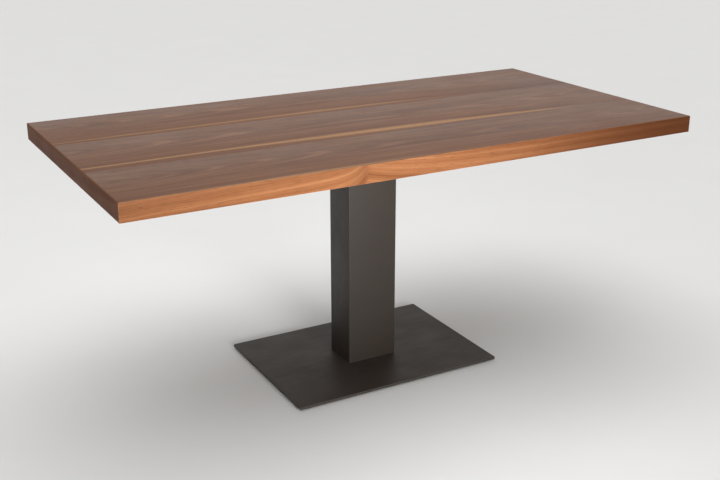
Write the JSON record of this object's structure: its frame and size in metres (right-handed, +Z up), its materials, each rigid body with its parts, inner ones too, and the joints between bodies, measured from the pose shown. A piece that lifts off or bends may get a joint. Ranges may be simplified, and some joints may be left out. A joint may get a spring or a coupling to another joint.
{
  "type": "pedestal dining table",
  "caption": "Rectangular walnut-faced table top on a steel under-frame, a rectangular steel column and a flat steel base plate with screw-adjusted levelling feet.",
  "frame": {"origin": "on the floor under the middle of the table top, with the four foot pads at z = 0", "axes": "+X along the table's length, to the right seen from the front; +Y across its width, to the back; +Z up"},
  "size_m": [1.8, 0.9, 0.785],
  "materials": {
    "walnut_face": "satin lacquered walnut boards",
    "walnut_edge": "satin lacquered walnut edge band, long grain",
    "panel_core": "raw blockboard",
    "powder_coated_steel": "satin brown-black fine powder coat",
    "zinc_plated_steel": "bright zinc plate",
    "brass": "plain turned brass",
    "black_plastic": "fine matt moulded",
    "grey_nylon": "matt moulded nylon"
  },
  "bodies": {
    "table": {"core_panel": "panel_core", "backing_sheet": "walnut_face", "face_board_back": "walnut_face", "face_board_middle": "walnut_face", "face_board_front": "walnut_face", "edge_band_front": "walnut_edge", "edge_band_back": "walnut_edge", "edge_band_left": "walnut_edge", "edge_band_right": "walnut_edge", "long_rail_front": "powder_coated_steel", "long_rail_back": "powder_coated_steel", "cross_rail_left": "powder_coated_steel", "cross_rail_right": "powder_coated_steel", "head_plate": "powder_coated_steel", "column_shell": "powder_coated_steel", "column_top_flange": "powder_coated_steel", "column_foot_flange": "powder_coated_steel", "base_plate": "powder_coated_steel", "rail_end_cap_front_left": "black_plastic", "rail_end_cap_front_right": "black_plastic", "rail_end_cap_back_left": "black_plastic", "rail_end_cap_back_right": "black_plastic", "top_screw_front_left": "zinc_plated_steel", "top_screw_front_right": "zinc_plated_steel", "top_screw_back_left": "zinc_plated_steel", "top_screw_back_right": "zinc_plated_steel", "top_screw_middle_left": "zinc_plated_steel", "top_screw_middle_right": "zinc_plated_steel", "threaded_insert_front_left": "brass", "threaded_insert_front_right": "brass", "threaded_insert_back_left": "brass", "threaded_insert_back_right": "brass", "threaded_insert_middle_left": "brass", "threaded_insert_middle_right": "brass", "rail_bolt_front_left": "zinc_plated_steel", "rail_bolt_front_right": "zinc_plated_steel", "rail_bolt_back_left": "zinc_plated_steel", "rail_bolt_back_right": "zinc_plated_steel", "weld_nut_front_left": "zinc_plated_steel", "weld_nut_front_right": "zinc_plated_steel", "weld_nut_back_left": "zinc_plated_steel", "weld_nut_back_right": "zinc_plated_steel", "column_bolt_front_left": "zinc_plated_steel", "column_bolt_front_right": "zinc_plated_steel", "column_bolt_back_left": "zinc_plated_steel", "column_bolt_back_right": "zinc_plated_steel", "base_bolt_front_left": "zinc_plated_steel", "base_bolt_front_right": "zinc_plated_steel", "base_bolt_back_left": "zinc_plated_steel", "base_bolt_back_right": "zinc_plated_steel"},
    "pad_front_left": {"foot_pad_front_left": "grey_nylon"},
    "pad_front_right": {"foot_pad_front_right": "grey_nylon"},
    "pad_back_left": {"foot_pad_back_left": "grey_nylon"},
    "pad_back_right": {"foot_pad_back_right": "grey_nylon"},
    "screw_front_left": {"foot_screw_front_left": "zinc_plated_steel"},
    "screw_front_right": {"foot_screw_front_right": "zinc_plated_steel"},
    "screw_back_left": {"foot_screw_back_left": "zinc_plated_steel"},
    "screw_back_right": {"foot_screw_back_right": "zinc_plated_steel"}
  },
  "joints": [
    {"name": "level_front_left", "type": "slide", "parent": "table", "child": "pad_front_left", "axis": [0, 0, -1], "range_m": [0, 0.003]},
    {"name": "turn_front_left", "type": "hinge", "parent": "pad_front_left", "child": "screw_front_left", "pos_m": [-0.31, -0.21, 0.005], "axis": [0, 0, -1], "range_deg": [0, 1085]},
    {"name": "level_front_right", "type": "slide", "parent": "table", "child": "pad_front_right", "axis": [0, 0, -1], "range_m": [0, 0.003]},
    {"name": "turn_front_right", "type": "hinge", "parent": "pad_front_right", "child": "screw_front_right", "pos_m": [0.31, -0.21, 0.005], "axis": [0, 0, -1], "range_deg": [0, 1085]},
    {"name": "level_back_left", "type": "slide", "parent": "table", "child": "pad_back_left", "axis": [0, 0, -1], "range_m": [0, 0.003]},
    {"name": "turn_back_left", "type": "hinge", "parent": "pad_back_left", "child": "screw_back_left", "pos_m": [-0.31, 0.21, 0.005], "axis": [0, 0, -1], "range_deg": [0, 1085]},
    {"name": "level_back_right", "type": "slide", "parent": "table", "child": "pad_back_right", "axis": [0, 0, -1], "range_m": [0, 0.003]},
    {"name": "turn_back_right", "type": "hinge", "parent": "pad_back_right", "child": "screw_back_right", "pos_m": [0.31, 0.21, 0.005], "axis": [0, 0, -1], "range_deg": [0, 1085]}
  ],
  "couplings": [
    {"joint": "turn_front_left", "follows": "level_front_left", "rad_per_m": 6283.2},
    {"joint": "turn_front_right", "follows": "level_front_right", "rad_per_m": 6283.2},
    {"joint": "turn_back_left", "follows": "level_back_left", "rad_per_m": 6283.2},
    {"joint": "turn_back_right", "follows": "level_back_right", "rad_per_m": 6283.2}
  ]
}
